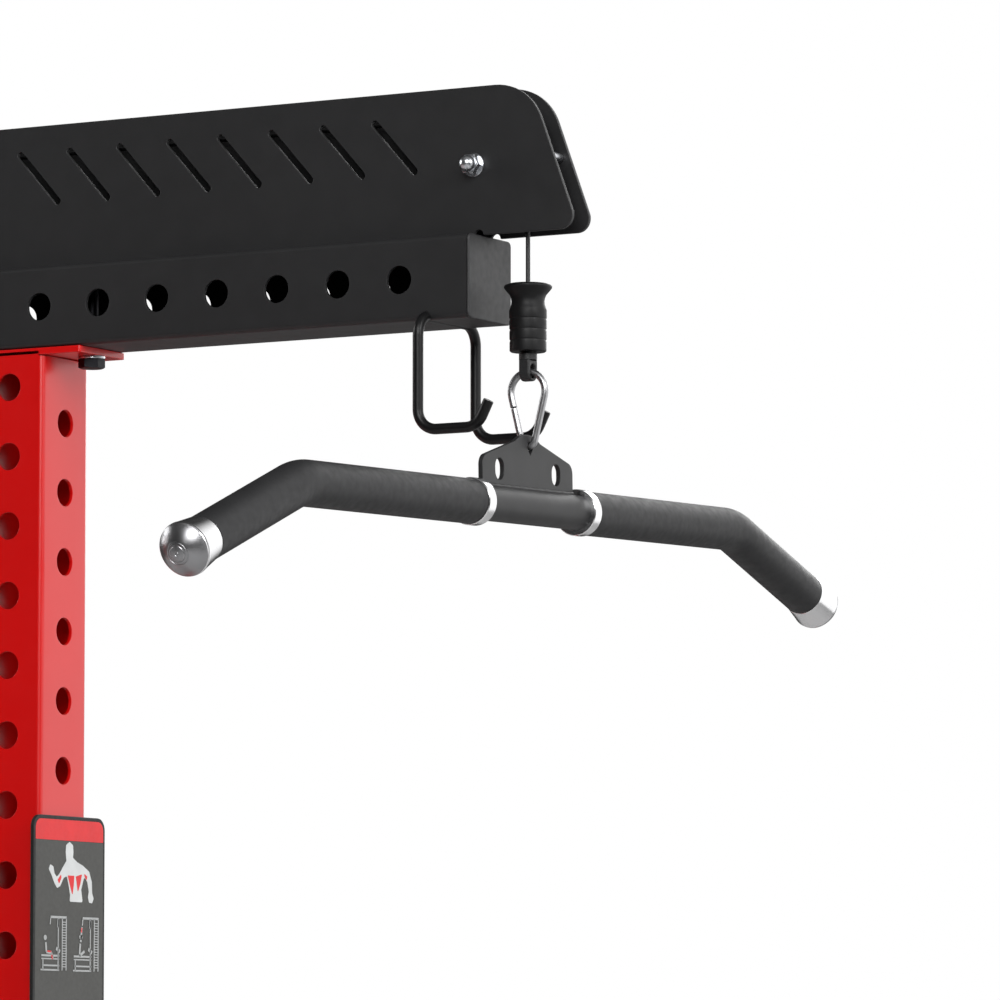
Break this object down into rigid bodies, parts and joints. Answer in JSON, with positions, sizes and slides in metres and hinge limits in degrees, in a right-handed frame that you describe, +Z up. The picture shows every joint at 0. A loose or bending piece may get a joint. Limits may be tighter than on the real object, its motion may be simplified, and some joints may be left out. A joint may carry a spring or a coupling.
{
  "type": "power cage",
  "caption": "Steel power cage with bolt-on lat pulldown tower, cable over two pulleys, plate-loaded carriage, angled lat bar, J-hooks and safety rods.",
  "frame": {"origin": "on the floor, under the middle of the whole object's bounding box", "axes": "+Z up, +X from the cage towards the lat tower and its arm, +Y to the left seen from the tower looking at the cage from behind it; the arm, cable and column lie in the plane Y = 0"},
  "size_m": [2.0238, 1.22, 2.206],
  "materials": {
    "red_coat": "gloss powder coat",
    "black_coat": "fine texture powder coat",
    "black_plastic": "moulded, satin",
    "pulley_nylon": "turned nylon",
    "bushing_plastic": "off-white sliding plastic",
    "rubber": "matt",
    "grip_rubber": "smooth dipped grip",
    "zinc_steel": "bright zinc plate",
    "dark_steel": "black oxide",
    "chrome": "polished",
    "satin_steel": "turned satin",
    "cable": "black plastic coated wire rope",
    "placard": "printed panel"
  },
  "bodies": {
    "frame": {"arm_beam": "black_coat", "arm_end_cap": "black_plastic", "arm_flange_bolts": "dark_steel", "arm_flange_washers": "zinc_steel", "bar_rest_hooks": "black_coat", "base_rear_crossmember": "black_coat", "base_side_rail_left": "black_coat", "base_side_rail_right": "black_coat", "bracket_bolts": "zinc_steel", "cable_top_run": "cable", "carriage_bumpers": "rubber", "foot_pads": "rubber", "frame_bolts": "zinc_steel", "guard_plate_left": "black_coat", "guard_plate_right": "black_coat", "guard_spacers": "zinc_steel", "guide_rod_brackets": "black_coat", "guide_rod_stops": "zinc_steel", "guide_rods": "chrome", "instruction_placard": "placard", "lat_column": "red_coat", "pull_up_bar": "black_coat", "pulley_axle_bolts": "zinc_steel", "pulley_axle_cap_nuts": "zinc_steel", "pulley_axle_washers": "zinc_steel", "pulley_side_spacers": "black_plastic", "top_rear_crossmember": "black_coat", "top_side_rail_left": "black_coat", "top_side_rail_right": "black_coat", "tower_base_beam": "black_coat", "upright_front_left": "red_coat", "upright_front_right": "red_coat", "upright_rear_left": "red_coat", "upright_rear_right": "red_coat", "upright_top_caps": "black_plastic"},
    "carriage": {"weight_carriage": "black_coat", "carriage_bushings": "bushing_plastic", "weight_horns": "chrome", "horn_end_caps": "black_plastic", "cable_rear_run": "cable"},
    "cable_end": {"cable_stopper": "black_plastic", "cable_front_run": "cable"},
    "swivel": {"cable_end_lug": "dark_steel", "carabiner_body": "satin_steel"},
    "gate": {"carabiner_gate": "satin_steel"},
    "lat_bar": {"hanger_plate": "black_coat", "lat_bar_tube": "black_coat", "lat_bar_grips": "grip_rubber", "lat_bar_collars": "satin_steel", "lat_bar_end_caps": "satin_steel"},
    "front_wheel": {"front_pulley": "pulley_nylon", "front_pulley_bearing": "satin_steel"},
    "rear_wheel": {"rear_pulley": "pulley_nylon", "rear_pulley_bearing": "satin_steel"},
    "hook_right": {"j_hook_right": "black_coat", "j_hook_right_liner": "bushing_plastic"},
    "hook_left": {"j_hook_left": "black_coat", "j_hook_left_liner": "bushing_plastic"},
    "safety_right": {"safety_rod_right": "chrome"},
    "safety_left": {"safety_rod_left": "chrome"}
  },
  "joints": [
    {"name": "carriage_lift", "type": "slide", "parent": "frame", "child": "carriage", "axis": [0, 0, 1], "range_m": [0, 1.15], "deforming": ["cable_rear_run"]},
    {"name": "lat_pull", "type": "slide", "parent": "frame", "child": "cable_end", "axis": [0, 0, -1], "range_m": [0, 1.15], "deforming": ["cable_front_run"]},
    {"name": "front_pulley_spin", "type": "hinge", "parent": "frame", "child": "front_wheel", "pos_m": [0.93257, 0, 2.15], "axis": [0, 1, 0], "continuous": true},
    {"name": "rear_pulley_spin", "type": "hinge", "parent": "frame", "child": "rear_wheel", "pos_m": [0.33807, 0, 2.15], "axis": [0, 1, 0], "continuous": true},
    {"name": "bar_swivel", "type": "hinge", "parent": "cable_end", "child": "swivel", "pos_m": [0.96867, 0, 2.027], "axis": [0, 0, 1], "range_deg": [-45, 45]},
    {"name": "bar_tilt", "type": "hinge", "parent": "swivel", "child": "lat_bar", "pos_m": [0.96867, 0, 1.95], "axis": [1, 0, 0], "range_deg": [-10, 10]},
    {"name": "carabiner_gate_swing", "type": "hinge", "parent": "swivel", "child": "gate", "pos_m": [0.96191, 0, 1.95985], "axis": [0, 1, 0], "range_deg": [0, 25], "stiffness_Nm_per_rad": 0.05},
    {"name": "j_hook_right_pull", "type": "slide", "parent": "frame", "child": "hook_right", "axis": [1, 0, 0], "range_m": [0, 0.08]},
    {"name": "j_hook_left_pull", "type": "slide", "parent": "frame", "child": "hook_left", "axis": [1, 0, 0], "range_m": [0, 0.08]},
    {"name": "safety_rod_right_pull", "type": "slide", "parent": "frame", "child": "safety_right", "axis": [-1, 0, 0], "range_m": [0, 1.15]},
    {"name": "safety_rod_left_pull", "type": "slide", "parent": "frame", "child": "safety_left", "axis": [-1, 0, 0], "range_m": [0, 1.15]}
  ],
  "couplings": [
    {"joint": "lat_pull", "follows": "carriage_lift", "ratio": 1},
    {"joint": "front_pulley_spin", "follows": "carriage_lift", "rad_per_m": 27.701},
    {"joint": "rear_pulley_spin", "follows": "carriage_lift", "rad_per_m": 27.701}
  ]
}
